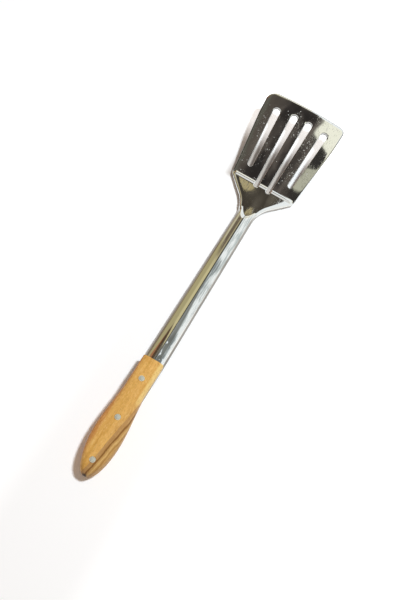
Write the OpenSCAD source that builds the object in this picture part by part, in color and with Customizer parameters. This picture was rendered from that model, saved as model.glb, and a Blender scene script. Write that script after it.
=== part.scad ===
// Slotted kitchen turner: one pressed steel sheet from blade to tang, two wooden
// scales and three rivets, each headed over a burr ring on both faces.
// It lies with its crowned side up. X runs to the blade tip, Y to the left, Z up,
// and the origin is under the middle of the whole length, on the surface it lies on.

/* [Sheet] */
// Thickness of the steel sheet
sheet_t = 1.2; // [1:0.1:1.5]

/* [Blade] */
// Length of the blade from heel to front edge
blade_l = 89; // [80:1:100]
// Width of the blade near its front edge
blade_tip_w = 79.4; // [74:0.2:86]
// Width of the blade at the heel
blade_root_w = 63.4; // [60:0.2:70]
// Angle that the blade rises from the surface
blade_pitch = 15.1; // [10:0.1:20]
// Radius of the bowed front edge
front_edge_r = 400; // [250:10:800]
// Radius of the left front corner
corner_left_r = 9; // [4:0.5:12]
// Radius of the right front corner
corner_right_r = 5.5; // [4:0.5:12]
// Width of the ground bevel along the front edge
bevel_w = 2; // [1:0.1:3]
// Thickness left at the ground front edge
bevel_land = 0.5; // [0.3:0.1:0.8]

/* [Slots] */
// Width of a slot at its front end
slot_front_w = 6.4; // [6:0.1:7.5]
// Width of an inner slot at its heel end
slot_inner_heel_w = 3.6; // [3:0.1:4.4]
// Width of an outer slot at its heel end
slot_outer_heel_w = 4.6; // [3.6:0.1:5]
// Blade left in front of the inner slots
slot_inner_front_gap = 12.8; // [10:0.1:16]
// Blade left in front of the outer slots
slot_outer_front_gap = 15.2; // [12:0.1:20]
// Distance from the heel to the heel end of the outer slots
slot_outer_start = 11.6; // [8:0.1:16]
// How far the inner slots run past the heel into the throat
slot_inner_past = 3.4; // [2.5:0.1:4.5]
// Side distance of the inner slots at their front ends
slot_inner_front_y = 7.5; // [6.8:0.1:8.2]
// Side distance of the inner slots at their heel ends
slot_inner_heel_y = 6.2; // [5.4:0.1:6.8]
// Side distance of the outer slots at their front ends
slot_outer_front_y = 24.9; // [23:0.1:26]
// Side distance of the outer slots at their heel ends
slot_outer_heel_y = 20.8; // [19:0.1:22]
// Width of the pressed rim round the front end of a slot
slot_rim_w = 1.3; // [0.6:0.1:1.6]
// Depth of the pressed rim of a slot
slot_rim_depth = 0.55; // [0.3:0.05:0.7]

/* [Heel] */
// Height of the middle of the sheet at the heel
heel_z = 4.1; // [3.6:0.1:6]
// Outer radius of the stiffening bead across the heel
bead_r = 2.3; // [2:0.1:2.8]
// How far the bead stands above the sheet
bead_rise = 0.9; // [0.6:0.1:1.1]
// Distance from each side of the sheet to the closed end of the bead
bead_end_gap = 1.5; // [1:0.1:3]
// Radius of the shoulders
shoulder_r = 7; // [4:0.5:10]

/* [Throat and shaft] */
// Length of the throat from heel to neck
throat_l = 38; // [34:0.5:44]
// Angle of each side of the throat to the length
throat_flare = 43; // [38:1:46]
// Radius where the throat sweeps into the shaft
throat_sweep_r = 30; // [24:1:34]
// Depth of the rolled lip at the heel end of the throat
lip_drop = 2; // [1.8:0.1:2.6]
// Length over which the rolled lip runs out along the sides of the blade
lip_run_l = 8; // [6:0.5:12]
// Length of the step where the crown of the shaft starts
crown_step_l = 9; // [6:0.5:12]
// Height of the throat plane where the crown starts
throat_z = 6; // [5.6:0.1:6.6]
// Length of the shaft from neck to handle
shaft_l = 167; // [140:1:190]
// Width of the shaft at the neck
neck_w = 16.6; // [15:0.2:18]
// Width of the shaft where it enters the handle
joint_w = 19.2; // [18:0.2:20]
// Height of the crown of the shaft at the neck
neck_h = 7.8; // [7.4:0.1:8.4]
// Height of the crown of the shaft at the handle
joint_h = 9; // [8.6:0.1:10]

/* [Tang] */
// Length over which the crown flattens under the top scale
tang_flatten_l = 16; // [12:1:18]
// Length of the side flanges inside the handle
tang_flange_l = 45; // [38:1:52]
// Width of the flat tang at its end
tang_end_w = 9; // [7:0.5:11]
// Wood left behind the end of the tang
tang_end_gap = 6; // [5:0.5:8]

/* [Handle] */
// Length of the handle
handle_l = 110; // [104:1:120]
// Width of the handle at its front
grip_front_w = 18.8; // [18:0.2:19.6]
// Widest width of the handle
grip_swell_w = 25.2; // [22:0.2:28]
// Length of the straight front part of the handle
grip_straight_l = 32; // [28:1:36]
// Distance from the widest place to the end of the handle
grip_end_l = 36.5; // [32:0.5:40]
// Height of the top scale at its front
scale_front_z = 15; // [14:0.1:16]
// Full thickness of the handle
grip_h = 18.2; // [17:0.1:20]
// Length over which the top scale rises to the full thickness
scale_rise_l = 26; // [20:1:34]
// How far the front of the top scale comes down over the crown of the shaft
saddle_drop = 3.5; // [2:0.1:5]
// How much is planed off the back of the handle to make its resting face
back_planed = 0.3; // [0.1:0.05:0.5]
// Length over which the handle is rounded down at its end
scale_end_round = 15; // [12:0.5:18]
// How far the end of the handle leans to the right
grip_lean = 1.5; // [0:0.1:2.5]

/* [Rivets] */
// Distance of the first rivet from the front of the handle
rivet_first = 20.8; // [19.5:0.1:24]
// Distance of the third rivet from the end of the handle
rivet_last = 11.8; // [11:0.1:14]
// Place of the second rivet, as a share of the way from the first to the third
rivet_middle_share = 0.491; // [0.4:0.001:0.6]
// Diameter of a rivet shank
rivet_d = 2.6; // [2:0.1:3]
// Outer diameter of a burr ring
burr_d = 4.9; // [4.4:0.1:5.4]
// Thickness of a burr ring
burr_t = 0.9; // [0.7:0.1:1.2]
// How far a burr stands out of the top scale
burr_proud = 0.3; // [0.1:0.05:0.4]
// Diameter of the headed end of a rivet
rivet_head_d = 3.4; // [3.2:0.1:3.8]
// Height of the headed end of a rivet
rivet_head_h = 0.35; // [0.2:0.05:0.5]

/* [Fits] */
// Clearance between a rivet and what it passes through
rivet_clear = 0.05; // [0.02:0.01:0.1]
// Clearance between the tang and the wood at its sides
tang_clear = 0.15; // [0.05:0.05:0.2]
// How far the lower burrs and rivet ends lie above the resting face
back_inset = 0.1; // [0.05:0.05:0.2]
// How far a cutting tool runs past the face that it cuts
overrun = 1; // [0.5:0.5:2]

/* [Hidden] */
rivet_names = ["front", "middle", "rear"];

// Places along the length
total_l = handle_l + shaft_l + throat_l + blade_l * cos(blade_pitch);
end_x = -total_l / 2;
joint_x = end_x + handle_l;
neck_x = joint_x + shaft_l;
heel_x = neck_x + throat_l;
widest_x = end_x + grip_end_l;
first_rivet_x = joint_x - rivet_first;
last_rivet_x = end_x + rivet_last;
middle_rivet_x = first_rivet_x + (last_rivet_x - first_rivet_x) * rivet_middle_share;
rivet_xs = [first_rivet_x, middle_rivet_x, last_rivet_x];

// Half widths
neck_hw = neck_w / 2;
joint_hw = joint_w / 2;
root_hw = blade_root_w / 2;
tip_hw = blade_tip_w / 2;
front_hw = grip_front_w / 2;
swell_hw = grip_swell_w / 2;

// Where the straight side of the throat would meet the neck and the blade side
flare_x = heel_x - (root_hw - neck_hw) / tan(throat_flare) - shoulder_r * tan(throat_flare / 2) / 2;
shoulder_x = flare_x + (root_hw - neck_hw) / tan(throat_flare);
// Centres of the shoulder round and of the throat sweep, along the length
shoulder_cx = shoulder_x + shoulder_r * tan(throat_flare / 2);
sweep_cx = flare_x - throat_sweep_r * tan(throat_flare / 2);

// Tang heights: its top carries the top scale, its underside lies in the back scale
tang_top = joint_h;
tang_low = joint_h - sheet_t;
tang_x = end_x + tang_end_gap;
flange_end_x = joint_x - tang_flange_l;
back_burr_z = back_inset + rivet_head_h;
// Lip that is left of a flange where it has run out, as a share of the sheet
flange_trace_share = 0.35;

// Exponents of the rounded sections: a crowned shaft, a flat tang, a flat throat and blade,
// a soft grip, and the rounded end of the handle
crown_power_share = 2.3;
tang_power_share = 9;
blade_power_share = 16;
grip_power_share = 4.2;
end_power_share = 2.4;

// Half width of a slot's straight sides where they meet its round ends, as a share of their radius
slot_side_share = 0.995;

// Number of steps along each stretch
throat_steps = 30;
shaft_steps = 7;
tang_steps = 14;
scale_steps = 40;
tang_tail_steps = 3;
blade_side_steps = 14;
blade_corner_steps = 9;
// How much closer together the steps are near the heel, as an exponent
blade_step_share = 1.5;
// Facets across a section
section_steps = 28;

smooth_fn = 64;

// Eased rise from 0 to 1: quick at first, then flattening out
function ease(u) = let (v = min(1, max(0, u))) (sin(90 * v) + (1 - cos(180 * v)) / 2) / 2;
// Rise from 0 to 1 that starts and ends level
function soft(u) = let (v = min(1, max(0, u))) (1 - cos(180 * v)) / 2;
function mix(a, b, u) = a + (b - a) * u;
// Power and square root that stay real where a value runs out below zero
function power(v, e) = v <= 0 ? 0 : pow(v, e);
function safe_root(v) = sqrt(max(0, v));

// Half width of the shaft, which tapers from handle to neck
function shaft_hw(x) = mix(neck_hw, joint_hw, min(1, max(0, (neck_x - x) / shaft_l)));

// Half width of the steel from heel to handle
function steel_hw(x) =
    x > shoulder_cx - shoulder_r * sin(throat_flare)
        ? root_hw - shoulder_r + safe_root(pow(shoulder_r, 2) - pow(min(0, x - shoulder_cx), 2))
    : x > sweep_cx + throat_sweep_r * sin(throat_flare)
        ? neck_hw + (x - flare_x) * tan(throat_flare)
    : x > sweep_cx
        ? shaft_hw(x) + throat_sweep_r - safe_root(pow(throat_sweep_r, 2) - pow(x - sweep_cx, 2))
    : x > flange_end_x ? shaft_hw(x)
    : mix(joint_hw, tang_end_w / 2, (flange_end_x - x) / (flange_end_x - tang_x));

// Share of the way from the neck's crown into the flat throat
function throat_share(x) = soft((x - neck_x) / crown_step_l);

// Top of the steel along its middle line
function steel_top(x) =
    x > neck_x
        ? mix(neck_h, mix(throat_z, heel_z + sheet_t / 2, (x - neck_x) / throat_l), throat_share(x))
    : mix(neck_h, joint_h, min(1, (neck_x - x) / shaft_l));

// Lower edge of the flanges
function steel_edge(x) =
    x > neck_x
        ? (heel_z + sheet_t / 2 - lip_drop) * soft((x - neck_x) / throat_l)
    : x < joint_x
        ? (tang_low - sheet_t * flange_trace_share) * soft((joint_x - x) / tang_flange_l)
    : 0;

// Exponent of the section: crowned on the shaft, flat on the throat and under the scale
function steel_power(x) =
    x > neck_x ? mix(crown_power_share, blade_power_share, throat_share(x))
    : mix(crown_power_share, tang_power_share, soft((joint_x - x) / tang_flatten_l));

// Points of half a rounded section from right to left, over the top
function arch(x, hw, low, top, e) = [
    for (i = [0 : section_steps])
        let (a = 180 * i / section_steps, c = cos(a))
            [x, -sign(c) * hw * power(abs(c), 2 / e), low + (top - low) * power(sin(a), 2 / e)]
];

function backwards(list) = [for (i = [len(list) - 1 : -1 : 0]) list[i]];

// Ring of the bent sheet at one place along the length
function sheet_ring(x) = concat(
    arch(x, steel_hw(x), steel_edge(x), steel_top(x), steel_power(x)),
    backwards(arch(x, steel_hw(x) - sheet_t, steel_edge(x), steel_top(x) - sheet_t, steel_power(x)))
);

// Stations of the bent sheet from the first step behind the heel to the end of the tang
steel_xs = concat(
    [for (i = [1 : throat_steps]) heel_x - throat_l * i / throat_steps],
    [for (i = [1 : shaft_steps]) neck_x - shaft_l * i / shaft_steps],
    [for (i = [1 : tang_steps]) joint_x - tang_flange_l * i / tang_steps],
    [for (i = [1 : tang_tail_steps]) mix(flange_end_x, tang_x, i / tang_tail_steps)]
);

// Half width of the blade at a distance from the heel, on the right for side -1
function blade_hw(s, side) =
    let (r = side < 0 ? corner_right_r : corner_left_r)
        mix(root_hw, tip_hw, ease(s / blade_l)) + steel_hw(heel_x + s) - root_hw
            - r + safe_root(pow(r, 2) - pow(max(0, s - blade_l + r), 2));

// How far the bowed front edge falls back at a side distance
function front_bow(y) = front_edge_r - sqrt(pow(front_edge_r, 2) - pow(y, 2));

// Heights over the middle of the sheet: the lip runs out from the heel along the sides, and
// the upper face comes down to the ground front edge
function blade_edge(s) = -sheet_t / 2 - (lip_drop - sheet_t) * (1 - soft(s / lip_run_l));
function blade_face(s) =
    sheet_t / 2 - (sheet_t - bevel_land) * max(0, s - blade_l + bevel_w) / bevel_w;

// Points of one side of the sheet of the blade from right to left, in the plane of the blade
function blade_arch(s, inset, low, top) = [
    for (p = arch(s, 1, low, top, blade_power_share))
        let (y = p[1] * (blade_hw(s, p[1]) - inset))
            [s - front_bow(y) * s / blade_l, y, p[2]]
];

// Ring of the sheet of the blade, turned up by an angle about the heel
function blade_ring(s, pitch) =
    let (low = blade_edge(s))
        [
            for (p = concat(
                blade_arch(s, 0, low, blade_face(s)),
                backwards(blade_arch(s, sheet_t, low, -sheet_t / 2))
            ))
                [
                    heel_x + p[0] * cos(pitch) - p[2] * sin(pitch),
                    p[1],
                    heel_z + p[0] * sin(pitch) + p[2] * cos(pitch)
                ]
        ];

// Distances from the heel along the side of the blade, and round its front corners
corner_r = max(corner_left_r, corner_right_r);
blade_ss = concat(
    [for (i = [1 : blade_side_steps]) (blade_l - corner_r) * pow(i / blade_side_steps, blade_step_share)],
    [for (i = [1 : blade_corner_steps]) blade_l - corner_r * (1 - sin(90 * i / blade_corner_steps))]
);

// Skin between rings of points; each end is closed across the ring from side to side
module loft(rings) {
    n = len(rings[0]);
    last = len(rings) - 1;
    points = [for (ring = rings) each ring];
    sides = [
        for (j = [0 : last - 1], i = [0 : n - 1])
            [j * n + (i + 1) % n, j * n + i, (j + 1) * n + i, (j + 1) * n + (i + 1) % n]
    ];
    first_cap = [for (i = [0 : n / 2 - 2]) [i, i + 1, n - 2 - i, n - 1 - i]];
    last_cap = [for (i = [0 : n / 2 - 2]) [for (k = [i + 1, i, n - 1 - i, n - 2 - i]) last * n + k]];
    polyhedron(points, concat(sides, first_cap, last_cap));
}

// The whole bent sheet from the front edge of the blade to the end of the tang
module bent_sheet() {
    loft(concat(
        [for (s = backwards(blade_ss)) blade_ring(s, blade_pitch)],
        [blade_ring(0, blade_pitch / 2)],
        [for (x = steel_xs) sheet_ring(x)]
    ));
}

// Places of the four slots: front and heel ends along the blade and to the side, heel width
slots = [
    for (side = [1, -1]) each [
        [blade_l - slot_inner_front_gap, side * slot_inner_front_y,
         -slot_inner_past, side * slot_inner_heel_y, slot_inner_heel_w],
        [blade_l - slot_outer_front_gap, side * slot_outer_front_y,
         slot_outer_start, side * slot_outer_heel_y, slot_outer_heel_w]
    ]
];

// One slot: a tapered cut with round ends, and its pressed rim sloping down to it
module slot_cut(slot) {
    front_r = slot_front_w / 2;
    heel_r = slot[4] / 2;
    dir = [slot[0] - slot[2], slot[1] - slot[3]];
    span = norm(dir) - front_r - heel_r;
    translate([slot[0], slot[1], 0])
        rotate([0, 0, atan2(dir[1], dir[0])])
            translate([-front_r, 0, 0]) {
                translate([0, 0, -sheet_t - overrun])
                    linear_extrude(2 * (sheet_t + overrun)) {
                        circle(r = front_r, $fn = smooth_fn);
                        translate([-span, 0])
                            circle(r = heel_r, $fn = smooth_fn);
                        polygon([
                            [0, slot_side_share * front_r],
                            [-span, slot_side_share * heel_r],
                            [-span, -slot_side_share * heel_r],
                            [0, -slot_side_share * front_r]
                        ]);
                    }
                translate([0, 0, sheet_t / 2 - slot_rim_depth])
                    cylinder(r1 = front_r, r2 = front_r + 2 * slot_rim_w, h = 2 * slot_rim_depth,
                             $fn = smooth_fn);
            }
}

// Stiffening bead pressed across the heel, hollow from below
bead_z = heel_z + sheet_t / 2 + bead_rise - bead_r;
bead_hw = root_hw - bead_end_gap;
module bead() {
    translate([heel_x, bead_hw, bead_z])
        rotate([90, 0, 0])
            intersection() {
                cylinder(r = bead_r, h = 2 * bead_hw, $fn = smooth_fn);
                translate([-bead_r, heel_z - bead_z, 0])
                    cube([2 * bead_r, bead_r, 2 * bead_hw]);
            }
}
module bead_hollow() {
    translate([heel_x, bead_hw - sheet_t, bead_z])
        rotate([90, 0, 0])
            cylinder(r = bead_r - sheet_t, h = 2 * (bead_hw - sheet_t), $fn = smooth_fn);
}

module steel_pressing() {
    color("silver")
        difference() {
            union() {
                bent_sheet();
                bead();
            }
            bead_hollow();
            translate([heel_x, 0, heel_z])
                rotate([0, -blade_pitch, 0])
                    for (slot = slots)
                        slot_cut(slot);
            rivet_holes();
        }
}

// Half width of the wooden handle
function grip_hw(x) =
    let (swell_l = handle_l - grip_straight_l - grip_end_l)
        x > widest_x ? mix(front_hw, swell_hw, ease((joint_x - grip_straight_l - x) / swell_l))
        : swell_hw * safe_root(1 - pow((x - widest_x) / grip_end_l, 2));

// Share of the full half thickness that is left near the rounded end
function end_share(x) =
    let (v = max(0, end_x + scale_end_round - x) / scale_end_round)
        safe_root(1 - pow(v, end_power_share));

// Height of the top face along the handle
function grip_top(x) =
    tang_top + (mix(scale_front_z, grip_h, soft((joint_x - x) / scale_rise_l)) - tang_top) * end_share(x);
function grip_low(x) = tang_top - (tang_top + back_planed) * end_share(x);

// Stations along the handle, closer together at its rounded end
last_angle = 87;
grip_xs = concat(
    [for (i = [0 : scale_steps / 2]) mix(joint_x, widest_x, i * 2 / scale_steps)],
    [for (i = [1 : scale_steps / 2]) widest_x - grip_end_l * sin(last_angle * i * 2 / scale_steps)]
);

// Side place of the middle of the handle, which leans behind its straight front part
function grip_y(x) =
    -grip_lean * pow(max(0, joint_x - grip_straight_l - x) / (handle_l - grip_straight_l), 2);

// Half of the handle above or below the parting plane
function grip_ring(x, far) =
    let (outer = [for (p = arch(x, grip_hw(x), tang_top, far, grip_power_share)) p + [0, grip_y(x), 0]])
        concat(outer, backwards([for (p = outer) [p[0], p[1], tang_top]]));

module half_grip(upper) {
    loft([
        for (x = grip_xs)
            let (far = upper ? grip_top(x) : grip_low(x), ring = grip_ring(x, far))
                upper ? ring : backwards(ring)
    ]);
}

// Stations of the tang, run out past its two ends by what clears it
tang_xs = concat(
    [joint_x + overrun],
    [for (i = [1 : tang_steps]) joint_x - tang_flange_l * i / tang_steps],
    [tang_x - tang_clear]
);

// Room that the crowned top of the tang takes in the wood
module crown_room() {
    loft([
        for (x = tang_xs)
            let (outer = arch(x, steel_hw(x) + tang_clear, 0, steel_top(x), steel_power(x)))
                concat(outer, backwards([for (p = outer) [p[0], p[1], -overrun]]))
    ]);
}

// Room round the flanges and the flat of the tang in the wood below it
module flange_room() {
    loft([
        for (x = tang_xs)
            let (
                low = steel_edge(x) - tang_clear,
                inner_hw = steel_hw(x) - sheet_t - tang_clear,
                inner_top = steel_top(x) - sheet_t
            )
                concat(
                    arch(x, steel_hw(x) + tang_clear, low, tang_top + grip_h, tang_power_share),
                    backwards(arch(x, inner_hw, low, inner_top, steel_power(x)))
                )
    ]);
}

module rivet_holes() {
    for (x = rivet_xs)
        translate([x, grip_y(x), -overrun])
            cylinder(d = rivet_d + 2 * rivet_clear, h = grip_h + 2 * overrun, $fn = smooth_fn);
}

// Front of the top scale, which comes down over the crown of the shaft
module saddle() {
    translate([joint_x - tang_flatten_l, -front_hw, tang_top - saddle_drop])
        cube([tang_flatten_l, 2 * front_hw, 2 * saddle_drop]);
}

module top_scale() {
    color("burlywood")
        difference() {
            union() {
                half_grip(true);
                saddle();
            }
            crown_room();
            rivet_holes();
            for (x = rivet_xs)
                translate([x, grip_y(x), grip_top(x) + burr_proud - burr_t])
                    cylinder(d = burr_d + 2 * rivet_clear, h = burr_t + overrun, $fn = smooth_fn);
        }
}

module back_scale() {
    color("burlywood")
        difference() {
            half_grip(false);
            flange_room();
            translate([end_x - overrun, -grip_swell_w, -grip_h])
                cube([handle_l + 2 * overrun, 2 * grip_swell_w, grip_h]);
            rivet_holes();
            for (x = rivet_xs)
                translate([x, grip_y(x), -overrun])
                    cylinder(d = burr_d + 2 * rivet_clear, h = overrun + back_burr_z + burr_t,
                             $fn = smooth_fn);
        }
}

// Rivet number i: a shank with a low round head at each end
module rivet(i) {
    high = grip_top(rivet_xs[i]) + burr_proud;
    color("lightgray")
        translate([rivet_xs[i], grip_y(rivet_xs[i]), 0]) {
            translate([0, 0, back_inset])
                cylinder(d = rivet_d, h = high + rivet_head_h - back_inset, $fn = smooth_fn);
            translate([0, 0, high])
                cylinder(d1 = rivet_head_d, d2 = rivet_d, h = rivet_head_h, $fn = smooth_fn);
            translate([0, 0, back_inset])
                cylinder(d1 = rivet_d, d2 = rivet_head_d, h = rivet_head_h, $fn = smooth_fn);
        }
}

// Burr ring of rivet number i, from a given height up
module burr(i, low) {
    color("gainsboro")
        translate([rivet_xs[i], grip_y(rivet_xs[i]), low])
            difference() {
                cylinder(d = burr_d, h = burr_t, $fn = smooth_fn);
                translate([0, 0, -overrun])
                    cylinder(d = rivet_d + 2 * rivet_clear, h = burr_t + 2 * overrun, $fn = smooth_fn);
            }
}

steel_pressing();
top_scale();
back_scale();
for (i = [0 : len(rivet_names) - 1]) {
    rivet(i);
    burr(i, grip_top(rivet_xs[i]) + burr_proud - burr_t);
    burr(i, back_burr_z);
}
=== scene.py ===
# %% [markdown]
# # A slotted kitchen turner in polished steel and wood
# The tool is one pressed sheet of steel, from the front edge of the blade to the end of
# the tang, between two wooden scales that three rivets hold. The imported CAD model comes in
# as a fixed frame, so every size below agrees with it. The pieces that show most, the sheet
# and the wood, are modelled again with more points, because polished steel shows each facet.

import math

import bpy
import numpy as np
from mathutils import Matrix, Vector


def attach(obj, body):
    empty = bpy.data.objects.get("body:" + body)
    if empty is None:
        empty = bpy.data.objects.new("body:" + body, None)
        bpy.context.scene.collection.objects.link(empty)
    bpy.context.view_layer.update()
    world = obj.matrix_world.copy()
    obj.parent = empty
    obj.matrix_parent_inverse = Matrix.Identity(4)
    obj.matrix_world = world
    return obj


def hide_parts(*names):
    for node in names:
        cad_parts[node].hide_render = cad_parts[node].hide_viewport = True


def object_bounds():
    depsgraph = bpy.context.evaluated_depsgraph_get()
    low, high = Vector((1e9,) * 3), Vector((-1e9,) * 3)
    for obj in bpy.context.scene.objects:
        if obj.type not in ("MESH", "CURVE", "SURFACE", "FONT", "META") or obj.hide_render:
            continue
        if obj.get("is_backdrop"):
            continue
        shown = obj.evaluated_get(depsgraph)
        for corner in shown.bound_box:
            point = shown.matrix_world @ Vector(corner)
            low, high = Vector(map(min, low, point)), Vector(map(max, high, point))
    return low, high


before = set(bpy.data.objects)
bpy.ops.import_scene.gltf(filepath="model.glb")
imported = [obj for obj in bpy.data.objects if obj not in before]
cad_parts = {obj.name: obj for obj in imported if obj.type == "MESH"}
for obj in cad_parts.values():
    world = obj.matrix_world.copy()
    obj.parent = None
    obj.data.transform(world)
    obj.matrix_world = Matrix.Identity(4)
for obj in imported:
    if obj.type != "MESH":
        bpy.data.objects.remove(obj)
bpy.context.view_layer.update()

# %% [markdown]
# ## Sizes
# A real turner starts as a drawing. These are its sizes in millimetres, the same ones that the
# CAD model has, so each new piece lands exactly on the piece that it stands for. Half widths
# end in HW, lengths in L, heights in Z or H, and radii in R.

# %% Sizes of the blade
MM = 0.001
SHEET_T = 1.2

BLADE_L = 89.0
BLADE_TIP_HW = 39.7
BLADE_ROOT_HW = 31.7
BLADE_PITCH = math.radians(15.1)
FRONT_EDGE_R = 400.0
CORNER_LEFT_R = 9.0
CORNER_RIGHT_R = 5.5
BEVEL_W = 2.0
BEVEL_LAND = 0.5

print("blade", BLADE_L, "mm long,", 2 * BLADE_TIP_HW, "mm wide at the front")

# %% [markdown]
# A bead pressed across the heel stiffens the fold where the blade turns up. The numbers give
# its height, its run and how far its ends stay in from the edge.

# %% Sizes of the heel and its bead
HEEL_Z = 4.1
BEAD_RISE = 0.9
BEAD_HALF_W = 2.3
BEAD_END_GAP = 1.5
BEAD_END_RUN = 3.0
SHOULDER_R = 7.0
print("bead", 2 * BEAD_HALF_W, "mm wide")

# %% [markdown]
# The sheet narrows in the throat, is crowned into a channel for the shaft, and runs as a tang
# between the two scales of the handle.

# %% Sizes of the throat, the shaft and the tang
THROAT_L = 38.0
THROAT_FLARE = math.radians(43.0)
SWEEP_R = 30.0
LIP_DROP = 2.0
LIP_RUN = 8.0
CROWN_STEP = 9.0
THROAT_Z = 6.0
SHAFT_L = 167.0
NECK_HW = 8.3
JOINT_HW = 9.6
NECK_H = 7.8
JOINT_H = 9.0
TANG_FLATTEN = 16.0
TANG_FLANGE = 45.0
TANG_END_HW = 4.5
TANG_END_GAP = 6.0

print("shaft", SHAFT_L, "mm long")

# %% [markdown]
# The handle is two scales of wood, rounded together, with a small swell near the end.

# %% Sizes of the wooden handle
HANDLE_L = 110.0
GRIP_FRONT_HW = 9.4
GRIP_SWELL_HW = 12.6
GRIP_STRAIGHT = 32.0
GRIP_END = 36.5
SCALE_FRONT_Z = 15.0
GRIP_H = 18.2
SCALE_RISE = 26.0
SADDLE_DROP = 3.5
BACK_PLANED = 0.3
END_ROUND = 15.0
GRIP_LEAN = 1.5
print("handle", HANDLE_L, "mm long")

# %% [markdown]
# Most forms begin where another one ends, so their places are sums of the sizes above.

# %% Places along the tool
END_X = -(HANDLE_L + SHAFT_L + THROAT_L + BLADE_L * math.cos(BLADE_PITCH)) / 2
JOINT_X = END_X + HANDLE_L
NECK_X = JOINT_X + SHAFT_L
HEEL_X = NECK_X + THROAT_L
WIDEST_X = END_X + GRIP_END
TANG_X = END_X + TANG_END_GAP
FLANGE_END_X = JOINT_X - TANG_FLANGE
TANG_LOW = JOINT_H - SHEET_T
print("heel at x", round(HEEL_X, 2), "joint at x", round(JOINT_X, 2))

# %% [markdown]
# ## The camera
# The camera stands where the photographer stood: in front of the blade, a little to its
# right, looking down at the tool with the handle towards it. Its place and its three axes
# come from matching known points of the tool to where they lie in the picture.

# %% Camera
bpy.context.scene.view_settings.view_transform = "Standard"
camera_data = bpy.data.cameras.new("camera")
camera_data.lens = 60
camera_data.sensor_width = 36
camera_data.clip_start = 0.05
camera_data.clip_end = 50
camera = bpy.data.objects.new("camera", camera_data)
bpy.context.scene.collection.objects.link(camera)
camera_right = Vector((0.47049, -0.86711, 0.16357))
camera_up = Vector((0.75804, 0.49206, 0.42808))
camera_back = camera_right.cross(camera_up)
camera_place = Vector((-402.36, -71.40, 761.46)) * MM
camera_axes = Matrix((camera_right, camera_up, camera_back)).transposed().to_4x4()
camera.matrix_world = Matrix.Translation(camera_place) @ camera_axes
bpy.context.scene.camera = camera
print("camera at", tuple(camera.location))

# %% [markdown]
# ## Floor, lamps and surroundings
# Polished steel is seen by what it mirrors, so the surroundings do most of the work. The
# world is a plain studio: white walls to the right of the tool, warm ones to its left, and a
# dark gap overhead that the flat blade mirrors. Only mirror rays see those walls. The camera
# sees a white backdrop, and the light on the wood is soft and even.

# %% Floor
bpy.ops.object.select_all(action="DESELECT")
bpy.ops.mesh.primitive_plane_add(size=30, location=(0, 0, 0))
floor = bpy.context.object
floor.name = "floor"
floor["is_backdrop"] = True
print("floor", floor.dimensions.x, "m wide")

# %% [markdown]
# ## Shader maths as plain expressions
# A material is easier to read as a formula than as a list of nodes. This class wraps a
# socket, so that an expression on sockets adds the Math nodes that it needs.


# %% A socket that can be calculated with
class Sock:
    """An output socket of a node tree, with arithmetic that adds Math nodes."""

    def __init__(self, tree, socket):
        self.tree = tree
        self.socket = socket

    def _math(self, operation, *values):
        node = self.tree.nodes.new("ShaderNodeMath")
        node.operation = operation
        for place, value in enumerate(values):
            if isinstance(value, Sock):
                self.tree.links.new(value.socket, node.inputs[place])
            else:
                node.inputs[place].default_value = value
        return Sock(self.tree, node.outputs[0])

    def __add__(self, other):
        return self._math("ADD", self, other)

    def __radd__(self, other):
        return self._math("ADD", other, self)

    def __sub__(self, other):
        return self._math("SUBTRACT", self, other)

    def __rsub__(self, other):
        return self._math("SUBTRACT", other, self)

    def __mul__(self, other):
        return self._math("MULTIPLY", self, other)

    def __rmul__(self, other):
        return self._math("MULTIPLY", other, self)

    def __neg__(self):
        return self._math("MULTIPLY", self, -1.0)

    def __truediv__(self, other):
        return self._math("DIVIDE", self, other)

    def low(self, other):
        return self._math("MINIMUM", self, other)

    def high(self, other):
        return self._math("MAXIMUM", self, other)

    def size(self):
        return self._math("ABSOLUTE", self)

    def root(self):
        return self._math("SQRT", self)

    def sine(self):
        return self._math("SINE", self)

    def step(self, start, end):
        """0 before start, 1 after end, and a smooth rise between them."""
        if isinstance(start, Sock):
            return ((self - start) / (end - start)).step(0.0, 1.0)
        node = self.tree.nodes.new("ShaderNodeMapRange")
        node.interpolation_type = "SMOOTHSTEP"
        self.tree.links.new(self.socket, node.inputs["Value"])
        down = start > end
        node.inputs["From Min"].default_value = min(start, end)
        node.inputs["From Max"].default_value = max(start, end)
        node.inputs["To Min"].default_value = 1.0 if down else 0.0
        node.inputs["To Max"].default_value = 0.0 if down else 1.0
        return Sock(self.tree, node.outputs["Result"])


print("a socket can be added, multiplied, stepped and compared")

# %% [markdown]
# Every other node comes from one method. It sets the node's own settings first, then the
# values or links of its sockets, which are named as in the menu, with _ for a space.


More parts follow.
